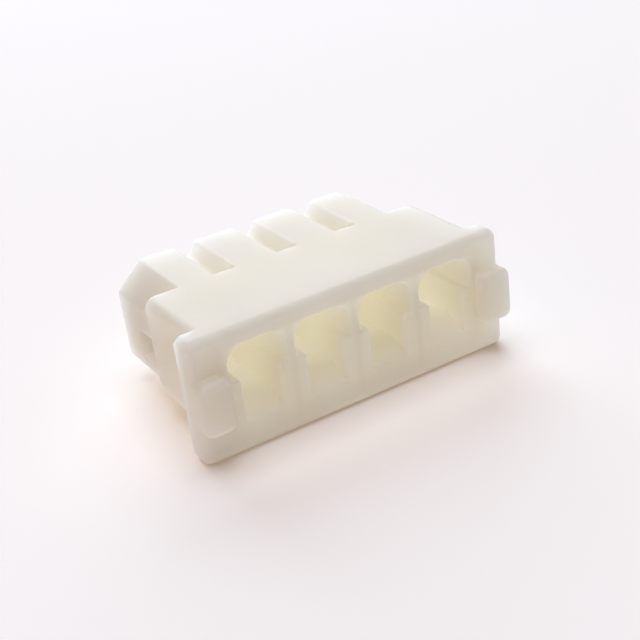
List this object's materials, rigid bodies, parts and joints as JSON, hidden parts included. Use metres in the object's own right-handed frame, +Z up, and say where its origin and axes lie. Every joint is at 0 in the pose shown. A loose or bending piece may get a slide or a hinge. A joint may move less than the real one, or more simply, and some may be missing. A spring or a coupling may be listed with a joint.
{
  "type": "wire to board connector housing",
  "caption": "One-piece moulded nylon plug housing for crimp contacts, with keyhole wire entries, a stepped body, finger ears and a grooved mating nose.",
  "frame": {"origin": "under the middle of the housing's box, on the level of the flange's foot", "axes": "+X along the row of ways, +Y from the wire entries to the mating end, +Z up, towards the grooved side of the nose"},
  "size_m": [0.0098, 0.0066, 0.0036],
  "materials": {
    "natural_nylon": "satin natural nylon, off-white and slightly translucent"
  },
  "bodies": {
    "root": {"housing": "natural_nylon"}
  },
  "joints": []
}
